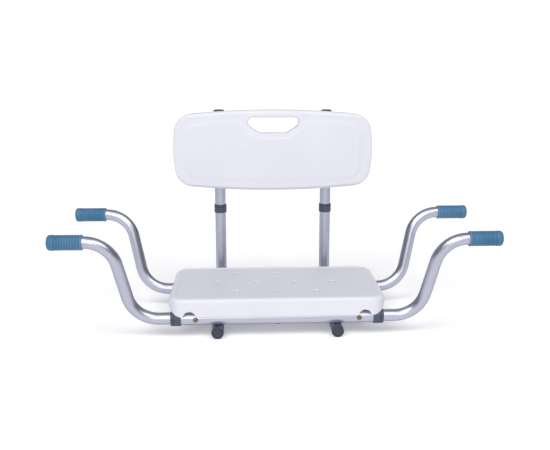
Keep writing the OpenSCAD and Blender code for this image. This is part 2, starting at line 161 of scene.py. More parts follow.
def lathe(name, profile, place, segments=72, smooth_deg=40):
    """A solid turned round local Z from a closed outline of (radius, height) points."""
    verts, faces = [], []
    count = len(profile)
    for s in range(segments):
        a = 2 * math.pi * s / segments
        verts += [place @ Vector((r * math.cos(a), r * math.sin(a), z)) for r, z in profile]
    for s in range(segments):
        t = (s + 1) % segments
        for i in range(count):
            j = (i + 1) % count
            if profile[i][0] == 0 and profile[j][0] == 0:
                continue
            corner = [s * count + i, s * count + j, t * count + j, t * count + i]
            if profile[i][0] == 0:
                corner = corner[:3]
            elif profile[j][0] == 0:
                corner = [corner[0], corner[1], corner[3]]
            faces.append(tuple(corner))
    return mesh_object(name, verts, faces, smooth_deg)


def arc(cx, cy, r, start, end, steps):
    """Points of an arc, in degrees."""
    angles = [math.radians(start + (end - start) * i / steps) for i in range(steps + 1)]
    return [(cx + r * math.cos(a), cy + r * math.sin(a)) for a in angles]


def axis_place(origin, direction):
    """A placement whose local Z points along direction."""
    turn = Vector(direction).to_track_quat("Z", "Y").to_matrix().to_4x4()
    return Matrix.Translation(Vector(origin)) @ turn


def cut(obj, cutters, smooth_deg=35):
    """Subtracts closed cutters from an object, one after another, and removes them."""
    for tool in cutters:
        modifier = obj.modifiers.new("cut", "BOOLEAN")
        modifier.operation = "DIFFERENCE"
        modifier.solver = "MANIFOLD"
        modifier.object = tool
    bpy.context.view_layer.update()
    depsgraph = bpy.context.evaluated_depsgraph_get()
    mesh = bpy.data.meshes.new_from_object(obj.evaluated_get(depsgraph))
    obj.modifiers.clear()
    old = obj.data
    obj.data = mesh
    bpy.data.meshes.remove(old)
    for tool in cutters:
        bpy.data.objects.remove(tool)
    tidy_mesh(obj.data, smooth_deg)


def finish_piece(obj, body, slot, material, *nodes):
    """Gives a piece its material, its body and the CAD nodes that it stands for."""
    if material is not None:
        obj.data.materials.clear()
        obj.data.materials.append(material)
    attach(obj, body)
    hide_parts(*nodes)
    return obj


def box_centre(node):
    low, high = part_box(node)
    return (low + high) / 2


# ---- Materials ----


class Shader:
    """A small builder for node materials on object coordinates."""

    def __init__(self, name):
        self.material = bpy.data.materials.new(name)
        self.material.use_nodes = True
        self.tree = self.material.node_tree
        self.tree.nodes.clear()
        self.out = self.node("ShaderNodeOutputMaterial")
        self.bsdf = self.node("ShaderNodeBsdfPrincipled")
        self.link(self.bsdf.outputs[0], self.out.inputs[0])
        self.coords = self.node("ShaderNodeTexCoord").outputs["Object"]

    def node(self, kind, **settings):
        made = self.tree.nodes.new(kind)
        for key, value in settings.items():
            setattr(made, key, value)
        return made

    def link(self, a, b):
        self.tree.links.new(a, b)

    def set(self, **values):
        for key, value in values.items():
            self.bsdf.inputs[key.replace("_", " ")].default_value = value

    def stretched(self, scale):
        mapping = self.node("ShaderNodeMapping")
        mapping.inputs["Scale"].default_value = scale
        self.link(self.coords, mapping.inputs["Vector"])
        return mapping.outputs[0]

    def noise(self, scale, detail=4.0, rough=0.55, stretch=None):
        tex = self.node("ShaderNodeTexNoise")
        tex.inputs["Scale"].default_value = scale
        tex.inputs["Detail"].default_value = detail
        tex.inputs["Roughness"].default_value = rough
        self.link(self.stretched(stretch) if stretch else self.coords, tex.inputs["Vector"])
        return tex.outputs["Fac"]

    def cells(self, scale, feature="F1", stretch=None):
        tex = self.node("ShaderNodeTexVoronoi", feature=feature)
        tex.inputs["Scale"].default_value = scale
        self.link(self.stretched(stretch) if stretch else self.coords, tex.inputs["Vector"])
        return tex.outputs["Distance"]

    def ramp(self, value, stops):
        ramp = self.node("ShaderNodeValToRGB")
        elements = ramp.color_ramp.elements
        while len(elements) < len(stops):
            elements.new(0.5)
        for element, (at, colour) in zip(elements, stops):
            element.position = at
            element.color = (*colour, 1.0)
        self.link(value, ramp.inputs[0])
        return ramp.outputs[0]

    def span(self, value, low, high, from_low=0.3, from_high=0.7):
        tex = self.node("ShaderNodeMapRange")
        numbers = (from_low, from_high, low, high)
        for key, number in zip(("From Min", "From Max", "To Min", "To Max"), numbers):
            tex.inputs[key].default_value = number
        self.link(value, tex.inputs["Value"])
        return tex.outputs[0]

    def mix(self, factor, a, b, blend="MIX"):
        mix = self.node("ShaderNodeMix", data_type="RGBA", blend_type=blend)
        for socket, value in ((mix.inputs["Factor"], factor), (mix.inputs[6], a), (mix.inputs[7], b)):
            if isinstance(value, (int, float)):
                socket.default_value = value
            elif isinstance(value, tuple):
                socket.default_value = (*value, 1.0)
            else:
                self.link(value, socket)
        return mix.outputs[2]

    def bump(self, *layers):
        """Layers of (height, strength, distance), each on top of the last."""
        last = None
        for height, strength, distance in layers:
            bump = self.node("ShaderNodeBump")
            bump.inputs["Strength"].default_value = strength
            bump.inputs["Distance"].default_value = distance
            self.link(height, bump.inputs["Height"])
            if last is not None:
                self.link(last, bump.inputs["Normal"])
            last = bump.outputs[0]
        self.link(last, self.bsdf.inputs["Normal"])

    def colour(self, socket):
        self.link(socket, self.bsdf.inputs["Base Color"])

    def rough(self, socket):
        self.link(socket, self.bsdf.inputs["Roughness"])

    def lighter_edges(self, colour, edge_colour, amount):
        """Mixes in a lighter colour along sharp outer edges."""
        point = self.node("ShaderNodeNewGeometry").outputs["Pointiness"]
        factor = self.span(point, 0.0, amount, 0.51, 0.56)
        return self.mix(factor, colour, edge_colour)


def moulded_white(name, tint, grain_scale, grain, pebble):
    """Blow-moulded polyethylene: waxy, faintly mottled, with a spark-eroded grain."""
    s = Shader(name)
    s.set(Subsurface_Weight=0.06, Subsurface_Scale=0.004, IOR=1.5, Coat_Weight=0.05, Coat_Roughness=0.35)
    s.bsdf.inputs["Subsurface Radius"].default_value = (1.0, 0.95, 0.9)
    cloud = s.noise(9.0, 3.0)
    dark = tuple(c * 0.965 for c in tint)
    base = s.ramp(cloud, [(0.35, dark), (0.65, tint)])
    speck = s.noise(160.0, 2.0)
    base = s.mix(s.span(speck, 0.0, 0.25, 0.62, 0.8), base, tuple(c * 0.93 for c in tint))
    s.colour(s.lighter_edges(base, tuple(min(1.0, c * 1.03) for c in tint), 0.6))
    s.rough(s.span(s.noise(45.0, 3.0), 0.36, 0.52))
    layers = [(s.noise(7.0, 2.0), 0.12, 0.004), (s.noise(grain_scale, 3.0), grain, 0.0006)]
    if pebble:
        layers.append((s.cells(pebble, "SMOOTH_F1"), 0.32, 0.0008))
    s.bump(*layers)
    return s.material


def anodised(name, stretch):
    """Satin anodised tube with fine drawing lines along it."""
    s = Shader(name)
    s.set(Metallic=1.0)
    s.bsdf.inputs["Specular Tint"].default_value = (0.25, 0.25, 0.34, 1.0)
    cloud = s.noise(14.0, 3.0)
    base = s.ramp(cloud, [(0.3, (0.48, 0.485, 0.575)), (0.7, (0.50, 0.505, 0.595))])
    lines = s.noise(1.0, 4.0, 0.7, stretch)
    base = s.mix(s.span(lines, 0.0, 0.2), base, (0.44, 0.445, 0.53))
    s.colour(base)
    s.rough(s.span(s.noise(25.0, 2.0), 0.33, 0.38))
    s.bump((lines, 0.02, 0.0001))
    return s.material


def rubbery(name, low, high, scale, rough, edge_colour):
    """Soft vinyl or rubber: matt, dusty in the hollows, lighter along its sharp outer edges."""
    s = Shader(name)
    s.set(IOR=1.5, Specular_IOR_Level=0.32, Sheen_Weight=0.05, Sheen_Roughness=0.4)
    base = s.ramp(s.noise(scale, 4.0), [(0.3, low), (0.7, high)])
    s.colour(s.lighter_edges(base, edge_colour, 0.55))
    s.rough(s.span(s.noise(scale * 6, 3.0), *rough))
    s.bump((s.noise(1400.0, 3.0), 0.22, 0.0004), (s.cells(900.0), 0.08, 0.0003))
    return s.material


def bare_metal(name, low, high, rough, scale=40.0):
    """Small turned or plated metal parts with faint stains."""
    s = Shader(name)
    s.set(Metallic=1.0)
    base = s.ramp(s.noise(scale * 8, 4.0), [(0.3, low), (0.7, high)])
    s.colour(s.lighter_edges(base, tuple(min(1.0, c * 1.25) for c in high), 0.7))
    s.rough(s.span(s.noise(scale * 12, 3.0), *rough))
    s.bump((s.noise(2400.0, 3.0), 0.12, 0.0002))
    return s.material


def make_materials():
    return {
        "white": moulded_white("white_polyethylene", (0.655, 0.655, 0.72), 900.0, 0.10, 0),
        # The panel's tint is a little darker than the seat's own white, though it is the same moulding:
        # painted shade on the top.
        "panel": moulded_white("anti_slip_white_painted_shade", (0.64, 0.64, 0.715), 700.0, 0.22, 520.0),
        "tube_x": anodised("anodised_along_x", (6.0, 900.0, 900.0)),
        "tube_z": anodised("anodised_along_z", (900.0, 900.0, 6.0)),
        "tube_bent": anodised("anodised_bent", (260.0, 260.0, 260.0)),
        "blue": rubbery(
            "blue_vinyl", (0.03, 0.11, 0.215), (0.055, 0.155, 0.29), 30.0, (0.42, 0.6), (0.16, 0.36, 0.5)
        ),
        # The backrest's tint is a little lighter than the seat's own white, though it is the same plastic:
        # painted light.
        "back": moulded_white("white_backrest_painted_light", (0.675, 0.675, 0.74), 900.0, 0.10, 0),
        "slate": rubbery(
            "slate_plastic", (0.014, 0.022, 0.048), (0.024, 0.033, 0.064), 40.0,
            (0.4, 0.55), (0.17, 0.21, 0.26)
        ),
        "rubber": rubbery(
            "dark_rubber", (0.018, 0.02, 0.036), (0.03, 0.033, 0.054), 50.0, (0.5, 0.7), (0.12, 0.12, 0.16)
        ),
        "brass": bare_metal("aged_brass", (0.16, 0.11, 0.07), (0.28, 0.20, 0.13), (0.25, 0.42)),
        "spring": bare_metal("spring_steel", (0.30, 0.30, 0.32), (0.45, 0.45, 0.47), (0.25, 0.4)),
        "steel": bare_metal("zinc_plate", (0.45, 0.45, 0.48), (0.62, 0.62, 0.65), (0.28, 0.45)),
    }


# ---- Seat board ----


def rounded_rect(width, depth, radius, corner_steps, long_steps, short_steps):
    """Outline points of a rounded rectangle, always the same number of them."""
    hw, hd = width / 2 - radius, depth / 2 - radius
    points = []
    corners = [(hw, hd, 0), (-hw, hd, 90), (-hw, -hd, 180), (hw, -hd, 270)]
    for k, (cx, cy, start) in enumerate(corners):
        points += arc(cx, cy, radius, start, start + 90, corner_steps)
        nx, ny, _ = corners[(k + 1) % 4]
        steps = long_steps if k % 2 == 0 else short_steps
        last = Vector(points[-1])
        turn = math.radians(start + 90)
        target = Vector((nx + radius * math.cos(turn), ny + radius * math.sin(turn)))
        points += [tuple(last.lerp(target, i / steps)) for i in range(1, steps)]
    return points


def seat_tools(low, high):
    """Cutters for the seat's channels and drain holes."""
    mid = (low + high) / 2
    width, depth = high.x - low.x, high.y - low.y
    tubes = [box_centre("front_cross_tube"), box_centre("rear_cross_tube")]
    collar_low, collar_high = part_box("front_right_collar")
    collar_r = (collar_high.z - collar_low.z) / 2 + 0.25 * MM
    tools = []
    for tube in tubes:
        along_x = axis_place((low.x - 0.01, tube.y, tube.z), (1, 0, 0))
        tools.append(lathe("tool", rod_profile(CROSS_R + 0.12 * MM, width + 0.02), along_x, 64))
        for side in (-1, 1):
            start = (side * (collar_low.x - 0.4 * MM), tube.y, tube.z)
            tools.append(lathe("tool", rod_profile(collar_r, 0.06), axis_place(start, (side, 0, 0)), 64))
    for side in (-1, 1):
        start = (side * ARCH_X, low.y - 2 * MM, low.z)
        tools.append(lathe("tool", flared_profile(ARCH_R, depth + 4 * MM, 3.2 * MM, 1.6 * MM),
                           axis_place(start, (0, 1, 0)), 64))
    for row in (-1, 0, 1):
        holes = 4 if row == 0 else 3
        for i in range(holes):
            x = (i - (holes - 1) / 2) * DRAIN_PITCH
            start = (x, mid.y + DRAIN_SHIFT + row * ROW_PITCH, low.z - 4 * MM)
            length = high.z - PANEL_SINK - start[2] + 0.02 * MM
            tools.append(lathe("tool", drain_profile(length), axis_place(start, (0, 0, 1)), 40))
    return tools


def seat_board(mats):
    low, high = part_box("seat_board")
    mid = (low + high) / 2
    width, depth = high.x - low.x, high.y - low.y
    wall_top = high.z - SEAT_EDGE_R
    verts, loops = [], []

    def roll(x):
        """Height of the underside, which rolls up at the two ends."""
        past = max(abs(x - mid.x) - (width / 2 - SEAT_CORNER_R), 0)
        return SEAT_CORNER_R - math.sqrt(max(SEAT_CORNER_R**2 - past**2, 0))

    def add_ring(inset_x, inset_y, height):
        radius = SEAT_PLAN_R - 0.5 * inset_x
        outline = rounded_rect(width - 2 * inset_x, depth - 2 * inset_y, radius, *SEAT_STEPS)
        loops.append([len(verts) + k for k in range(len(outline))])
        verts.extend((mid.x + x, mid.y + y, height(mid.x + x)) for x, y in outline)

    def under(lift):
        top = max(SEAT_CORNER_R / SKIN_EDGE * lift, 1e-9)
        return lambda x: low.z + roll(x) + lift * (1 - min(roll(x) / top, 1))

    for step in range(9):
        a = math.radians(90 * step / 8)
        inward = 1 - math.sin(a)
        add_ring(SEAT_CORNER_R * inward, SKIN_EDGE * inward, under(SKIN_EDGE * (1 - math.cos(a))))
    for step in range(1, 7):
        share = step / 6
        start = under(SKIN_EDGE)
        inset = SEAT_DRAFT * share**2
        add_ring(inset, inset, lambda x, share=share, start=start: start(x) + share * (wall_top - start(x)))
    for step in range(1, 13):
        a = math.radians(90 * step / 12)
        reach = (SEAT_EDGE_R - SEAT_DRAFT) * (1 - math.cos(a))
        z = wall_top + SEAT_EDGE_R * math.sin(a)
        add_ring(SEAT_DRAFT + reach * SEAT_EDGE_WIDE, SEAT_DRAFT + reach, lambda x, z=z: z)
    for step, drop in SEAT_LIP:
        z = high.z - drop * MM
        add_ring(PANEL_INSET[0] + step * MM, PANEL_INSET[1] + step * MM, lambda x, z=z: z)
    faces = []
    for a, b in zip(loops, loops[1:]):
        faces += [(a[k], a[(k + 1) % len(a)], b[(k + 1) % len(a)], b[k]) for k in range(len(a))]
    faces += [tuple(loops[0]), tuple(loops[-1])]
    seat = mesh_object("seat_moulding", verts, faces)

    cut(seat, seat_tools(low, high))

    seat.data.materials.clear()
    seat.data.materials.append(mats["white"])
    seat.data.materials.append(mats["panel"])
    # The sunk flat top gets the darker panel tint: painted shade.
    floor_z = high.z - 0.9 * MM
    for face in seat.data.polygons:
        flat_top = face.normal.z > 0.99 and face.center.z < floor_z and face.center.z > floor_z - 1 * MM
        face.material_index = 1 if flat_top else 0
    return finish_piece(seat, "frame", "white_plastic", None, "seat_board")


def rod_profile(radius, length):
    return [(0, 0), (radius, 0), (radius, length), (0, length)]


def flared_profile(radius, length, reach, flare):
    """A rod whose two ends open out like a trumpet; reach is measured from each end."""
    steps = [(flare * (1 - math.sin(math.radians(t))), reach - flare * math.cos(math.radians(t)) * 0.9)
             for t in (0, 22, 45, 67, 90)]
    near = [(radius + grow, at) for grow, at in steps]
    far = [(r, length - z) for r, z in reversed(near)]
    return [(0, 0), (radius + flare, 0), *near, *far, (radius + flare, length), (0, length)]


def drain_profile(length):
    """A drain hole's cutter: straight below, with a rounded mouth at the top."""
    mouth = 2.2 * MM
    turns = [math.radians(t) for t in (0, 18, 36, 54, 72, 90)]
    curve = [(DRAIN_R + mouth * (1 - math.cos(a)), length - mouth * (1 - math.sin(a))) for a in turns]
    above = 6 * MM
    return [(0, 0), (DRAIN_R, 0), *curve, (DRAIN_R + mouth, length + above), (0, length + above)]


# ---- Backrest ----


def slot_outline(top_z, grow, steps=8):
    """The hand slot's outline in x and z: four arcs, wider at the top."""
    upper, upper_r = Vector((41.6 * MM, top_z - 11 * MM)), 11 * MM
    lower, lower_r = Vector((25 * MM, top_z - SLOT_H + 9 * MM)), 9 * MM
    way = upper - lower
    side = math.degrees(math.atan2(way.y, way.x) - math.acos((lower_r - upper_r) / way.length))
    return (
        arc(upper.x, upper.y, upper_r + grow, side, 90, steps)
        + arc(-upper.x, upper.y, upper_r + grow, 90, 180 - side, steps)
        + arc(-lower.x, lower.y, lower_r + grow, 180 - side, 270, steps)
        + arc(lower.x, lower.y, lower_r + grow, 270, 360 + side, steps)
    )


def outline_distance(x, z, outline):
    """Distance of points outside a convex outline; negative inside it."""
    best = np.full(x.shape, 1e9)
    inside = np.ones(x.shape, bool)
    for (ax, az), (bx, bz) in zip(outline, outline[1:] + outline[:1]):
        ex, ez = bx - ax, bz - az
        length = ex * ex + ez * ez
        if length < 1e-14:
            continue
        t = np.clip(((x - ax) * ex + (z - az) * ez) / length, 0, 1)
        best = np.minimum(best, np.hypot(x - ax - t * ex, z - az - t * ez))
        inside &= ex * (z - az) - ez * (x - ax) > 0
    return np.where(inside, -best, best)


class BackOutline:
    """The backrest's outline, and grids of points that fill it."""

    def __init__(self, low, high):
        self.mid = (low + high) / 2
        self.hw, self.hh = (high.x - low.x) / 2, (high.z - low.z) / 2

    def crowned(self, x, z):
        return (
            x * (1 - BACK_BULGE / self.hw * (z / self.hh) ** 2),
            z * (1 - BACK_CROWN / self.hh * (x / self.hw) ** 2),
        )

    def side(self, inset, k, count):
        """One side, from one corner's middle to the next's, counter-clockwise from the right."""
        hw, hh, r = self.hw - inset, self.hh - inset, BACK_CORNER - inset
        corners = [(hw - r, -hh + r), (hw - r, hh - r), (-hw + r, hh - r), (-hw + r, -hh + r)]
        cx, cz = corners[k]
        nx, nz = corners[(k + 1) % 4]
        start = -45 + 90 * k
        path = arc(cx, cz, r, start, start + 45, 12) + arc(nx, nz, r, start + 45, start + 90, 12)
        path = np.array([self.crowned(*p) for p in path])
        lengths = np.r_[0, np.cumsum(np.hypot(*np.diff(path, axis=0).T))]
        want = np.linspace(0, lengths[-1], count + 1)
        straight = np.c_[np.interp(want, lengths, path[:, 0]), np.interp(want, lengths, path[:, 1])]
        return self.bent(straight, k, hw, hh, r)

    def bent(self, points, k, hw, hh, r):
        """Puts the points of the long straight stretch back on the crowned curve."""
        out = points.copy()
        for i, (x, z) in enumerate(points):
            if k % 2 == 0 and abs(z) < hh - r:
                sign = 1 if k == 0 else -1
                out[i] = self.crowned(sign * hw, z)
            elif k % 2 == 1 and abs(x) < hw - r:
                sign = 1 if k == 1 else -1
                out[i] = self.crowned(x, sign * hh)
        return out

    def grid(self, inset, nx, nz):
        """A grid of (nx+1) by (nz+1) points that fills the outline (a Coons patch)."""
        right = self.side(inset, 0, nz)
        top = self.side(inset, 1, nx)[::-1]
        left = self.side(inset, 2, nz)[::-1]
        bottom = self.side(inset, 3, nx)
        u = np.linspace(0, 1, nx + 1)[:, None, None]
        v = np.linspace(0, 1, nz + 1)[None, :, None]
        edges = (1 - v) * bottom[:, None] + v * top[:, None] + (1 - u) * left[None] + u * right[None]
        corners = (
            (1 - u) * (1 - v) * bottom[0] + u * (1 - v) * bottom[-1] + (1 - u) * v * top[0] + u * v * top[-1]
        )
        return edges - corners


def rim_order(nx, nz):
    """Grid places of the outline's points, once round."""
    return (
        [(i, 0) for i in range(nx)]
        + [(nx, j) for j in range(nz)]
        + [(i, nz) for i in range(nx, 0, -1)]
        + [(0, j) for j in range(nz, 0, -1)]
    )


def smooth_step(t):
    t = np.clip(t, 0, 1)
    return t * t * (3 - 2 * t)


def front_relief(grid, shape, slot_top):
    """How far each point of the front face lies behind the raised middle panel."""
    x, z = grid[..., 0], grid[..., 1]
    hw = shape.hw * (1 - BACK_BULGE / shape.hw * (z / shape.hh) ** 2)
    hh = shape.hh * (1 - BACK_CROWN / shape.hh * (x / shape.hw) ** 2)
    panel_r = 16 * MM
    px = np.abs(x) - (hw - 26 * MM - panel_r)
    pz = np.abs(z + 1.5 * MM) - (hh - 22 * MM - panel_r)
    board = np.hypot(np.maximum(px, 0), np.maximum(pz, 0)) + np.minimum(np.maximum(px, pz), 0) - panel_r
    slot = outline_distance(x, z, slot_outline(slot_top - shape.mid.z, 0.0))
    blend = 10 * MM
    away = np.maximum(board, 9 * MM - slot)
    near = np.clip(0.5 + 0.5 * (board - (9 * MM - slot)) / blend, 0, 1)
    away = away + blend * near * (1 - near)
    step = smooth_step((away + 1.2 * MM) / (2.4 * MM))
    collar = smooth_step(1 - np.abs(slot - 4 * MM) / (3 * MM)) * 0.25 * MM
    edge_fall = smooth_step((np.abs(x / hw) - 0.90) / 0.10) * 0.5 * MM
    return 1.2 * MM * step + edge_fall - collar


def backrest_board(mats):
    low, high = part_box("backrest_board")
    shape = BackOutline(low, high)
    slot_top = high.z - SLOT_DROP
    nx, nz = 150, 62
    order = rim_order(nx, nz)
    front = shape.grid(BACK_EDGE, nx, nz)
    rear = shape.grid(BACK_EDGE, nx, nz)
    relief = front_relief(front, shape, slot_top)
    count = (nx + 1) * (nz + 1)
    mid = shape.mid

    def spot(i, j):
        return i * (nz + 1) + j

    verts = [(mid.x + front[i, j, 0], low.y + relief[i, j], mid.z + front[i, j, 1])
             for i in range(nx + 1) for j in range(nz + 1)]
    verts += [(mid.x + rear[i, j, 0], high.y, mid.z + rear[i, j, 1])
              for i in range(nx + 1) for j in range(nz + 1)]
    faces = []
    for i in range(nx):
        for j in range(nz):
            quad = (spot(i, j), spot(i + 1, j), spot(i + 1, j + 1), spot(i, j + 1))
            faces.append(quad)
            faces.append(tuple(count + q for q in reversed(quad)))

    border = low.y + float(relief[0, nz // 2])
    rings = []
    for t in range(1, 7):
        a = math.radians(90 * t / 6)
        rings.append((BACK_EDGE * (1 - math.sin(a)), border + BACK_EDGE * (1 - math.cos(a))))
    seam = (low.y + high.y) / 2
    rings += [(0.0, seam - 0.9 * MM), (0.35 * MM, seam - 0.25 * MM), (0.35 * MM, seam + 0.25 * MM),
              (0.0, seam + 0.9 * MM)]
    for t in range(0, 6):
        a = math.radians(90 - 90 * t / 6)
        rings.append((BACK_EDGE * (1 - math.sin(a)), high.y - BACK_EDGE * (1 - math.cos(a))))
    ring_starts = []
    for inset, y in rings:
        ring_starts.append(len(verts))
        outline = shape.grid(inset, nx, nz)
        verts += [(mid.x + outline[i, j, 0], y, mid.z + outline[i, j, 1]) for i, j in order]
    loops = [[spot(i, j) for i, j in order]]
    loops += [[start + k for k in range(len(order))] for start in ring_starts]
    loops.append([count + spot(i, j) for i, j in order])
    for a, b in zip(loops, loops[1:]):
        for k in range(len(order)):
            n = (k + 1) % len(order)
            faces.append((a[k], a[n], b[n], b[k]))
    board = mesh_object("backrest_moulding", verts, faces)

    tools = [slot_tool(low, high, slot_top)]
    for name, _ in SIDES:
        post = box_centre(name + "_backrest_post")
        start = (post.x, post.y, low.z - 0.01)
        tools.append(lathe("tool", rod_profile(TUBE_R + 0.15 * MM, high.z - low.z + 0.02),
                           axis_place(start, (0, 0, 1)), 64))
    cut(board, tools)
    return finish_piece(board, "backrest", "white_plastic", mats["back"], "backrest_board")


def slot_tool(low, high, slot_top):
    """Cutter for the hand slot: straight inside, with rounded mouths in front and behind."""
    flare = 2.6 * MM
    depth = high.y - low.y
    middle = depth / 2
    half = [(0.0, middle)]
    half += [(flare * (1 - math.cos(math.radians(t))), flare * (1 - math.sin(math.radians(t))))
             for t in (0, 20, 40, 60, 78)]
    half += [(flare * 1.25, -2 * MM)]
    rows = [(grow, low.y + 1.2 * MM + at) for grow, at in reversed(half)]
    rows += [(grow, high.y - at) for grow, at in half[1:]]
    verts = []
    for grow, y in rows:
        verts += [(x, y, z) for x, z in slot_outline(slot_top, grow)]
    per_ring = len(verts) // len(rows)
    faces = ring_faces(len(rows), per_ring)
    faces.append(tuple(range(per_ring)))
    faces.append(tuple(range((len(rows) - 1) * per_ring, len(rows) * per_ring)))
    return mesh_object("tool", verts, faces)


# ---- Grips, collars, buttons, plugs, caps and screws ----


def grip_profile(length):
    """Ribbed sleeve with a smooth rounded end; z runs from the mouth to the closed end."""
    outer, bore, end_wall = 14.2 * MM, TUBE_R + 0.05 * MM, 2.75 * MM
    ribs, rib_zone, depth = 10, length - 12 * MM, 0.75 * MM
    pitch = (rib_zone - 3 * MM) / ribs
    outline = [(bore, 0.0), (outer - 1.0 * MM, 0.0), (outer - 0.3 * MM, 0.3 * MM), (outer, 1.0 * MM),
               (outer, 2.6 * MM)]
    for i in range(ribs):
        for t in range(1, 9):
            wave = 0.5 - 0.5 * math.cos(2 * math.pi * t / 8)
            outline.append((outer - depth * wave**0.8, 3 * MM + pitch * (i + t / 8)))
    outline += arc(outer - 5.5 * MM, length - 5.5 * MM, 5.5 * MM, 0, 90, 9)
    outline += [(0.0, length), (0.0, length - end_wall), (bore, length - end_wall)]
    return outline


def grips(mats):
    for name, side, _ in QUARTERS:
        low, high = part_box(name + "_grip")
        mid = (low + high) / 2
        start = (low.x if side > 0 else high.x, mid.y, mid.z)
        place = axis_place(start, (side, 0, 0))
        grip = lathe(name + "_grip_sleeve", grip_profile(high.x - low.x), place, 72, 50)
        finish_piece(grip, name + "_arm_assembly", "blue_grip", mats["blue"], name + "_grip")


def arm_path(start, end):
    """(x, z, slope in degrees) along an arm's axis, in the arm's own plane."""
    path = [(start, 0.0, 0.0)]
    for x, z in arc(ARM_BEND_X, ARM_BEND_R, ARM_BEND_R, -90, ARM_TURN - 90, BEND_STEPS):
        path.append((x, z, ARM_TURN * (len(path) - 1) / BEND_STEPS))
    turn = math.radians(ARM_TURN)
    turn_rise = ARM_BEND_R * (1 - math.cos(turn))
    top_x = path[-1][0] + ARM_LEG * math.cos(turn) + ARM_BEND_R * math.sin(turn)
    top_z = path[-1][1] + ARM_LEG * math.sin(turn) + turn_rise
    upper = arc(top_x, top_z - ARM_BEND_R, ARM_BEND_R, 90 + ARM_TURN, 90, BEND_STEPS)
    for k, (x, z) in enumerate(upper):
        path.append((x, z, ARM_TURN * (1 - k / BEND_STEPS)))
    return path + [(end, top_z, 0.0)]


def swept_arm(name, path, side, out, axis, around=64):
    """A hollow tube along an arm's path, leaning outward from the front or the rear cross tube."""
    steps = [(p, TUBE_R) for p in path] + [(p, TUBE_R - ARM_WALL) for p in reversed(path)]
    lean_sin, lean_cos = math.sin(ARM_LEAN), math.cos(ARM_LEAN)
    verts = []
    for (x, z, slope), radius in steps:
        tilt = math.radians(slope)
        for k in range(around):
            a = 2 * math.pi * k / around
            rise, py = radius * math.cos(a), radius * math.sin(a)
            px, pz = x - math.sin(tilt) * rise, z + math.cos(tilt) * rise
            y = out * (lean_sin * pz + lean_cos * py)
            verts.append((side * px, axis.y + y, axis.z + lean_cos * pz - lean_sin * py))
    return mesh_object(name, verts, ring_faces(len(steps), around, closed=True))


def arms(mats):
    for name, side, rear in QUARTERS:
        low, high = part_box(name + "_arm")
        axis = box_centre(("rear" if rear else "front") + "_cross_tube")
        out = 1 if rear else -1
        start, end = (low.x, high.x) if side > 0 else (-high.x, -low.x)
        arm = swept_arm(name + "_arm_tube", arm_path(start, end), side, out, axis)
        inner = BUTTON_X - ARM_TRAVEL
        ring = arc(BUTTON_X, 0, BUTTON_HOLE_R, -90, 90, 12) + arc(inner, 0, BUTTON_HOLE_R, 90, 270, 12)
        count = len(ring)
        reach = (0.0, out * 2 * TUBE_R)
        slot = [(side * x, axis.y + y, axis.z + z) for y in reach for x, z in ring]
        faces = ring_faces(2, count) + [tuple(range(count)), tuple(range(count, 2 * count))]
        cut(arm, [mesh_object("tool", slot, faces)])
        finish_piece(arm, name + "_arm_assembly", "anodised_aluminium", mats["tube_bent"], name + "_arm")


def collars(mats):
    for name, side, _ in QUARTERS:
        low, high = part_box(name + "_collar")
        mid = (low + high) / 2
        outer, length = (high.z - low.z) / 2, high.x - low.x
        start = (low.x if side > 0 else high.x, mid.y, mid.z)
        lip = length - 3.5 * MM
        profile = [(CROSS_R + 0.05 * MM, 0)]
        profile += arc(outer - 1.2 * MM, 1.2 * MM, 1.2 * MM, -90, 0, 4)
        profile += [(outer, length - 6.6 * MM), (outer - 0.35 * MM, length - 6.2 * MM),
                    (outer - 0.35 * MM, length - 5.6 * MM), (outer, length - 5.2 * MM)]
        profile += arc(outer - 1.6 * MM, length - 1.6 * MM, 1.6 * MM, 0, 90, 5)
        profile += [(TUBE_R + 0.6 * MM, length), (TUBE_R + 0.08 * MM, length - 0.6 * MM)]
        profile += [(TUBE_R + 0.08 * MM, lip), (CROSS_R + 0.05 * MM, lip)]
        collar = lathe(name + "_collar_ring", profile, axis_place(start, (side, 0, 0)), 72)
        finish_piece(collar, "frame", "slate_plastic", mats["slate"], name + "_collar")


def buttons(mats):
    for name, _, rear in QUARTERS:
        low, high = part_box(name + "_button")
        mid = (low + high) / 2
        out = 1 if rear else -1
        radius, length = (high.x - low.x) / 2, high.y - low.y
        start = (mid.x, low.y if rear else high.y, mid.z)
        skirt = length - 2.6 * MM
        profile = [(0, 0), (radius - 0.5 * MM, 0), (radius, 0.5 * MM), (radius, skirt - 0.5 * MM)]
        profile += arc(radius - 0.5 * MM, skirt - 0.5 * MM, 0.5 * MM, 0, 90, 3)
        profile += [(radius - 1.0 * MM, skirt + 0.1 * MM), (radius - 1.2 * MM, skirt + 0.5 * MM)]
        profile += arc(radius - 2.4 * MM, length - 1.3 * MM, 1.2 * MM, 0, 70, 5)
        profile += [(radius - 2.9 * MM, length), (radius - 3.2 * MM, length - 0.5 * MM)]
        profile += [(0, length - 0.7 * MM)]
        button = lathe(name + "_button_dome", profile, axis_place(start, (0, out, 0)), 48, 50)
        finish_piece(button, name + "_lock_button", "brass_button", mats["brass"], name + "_button")


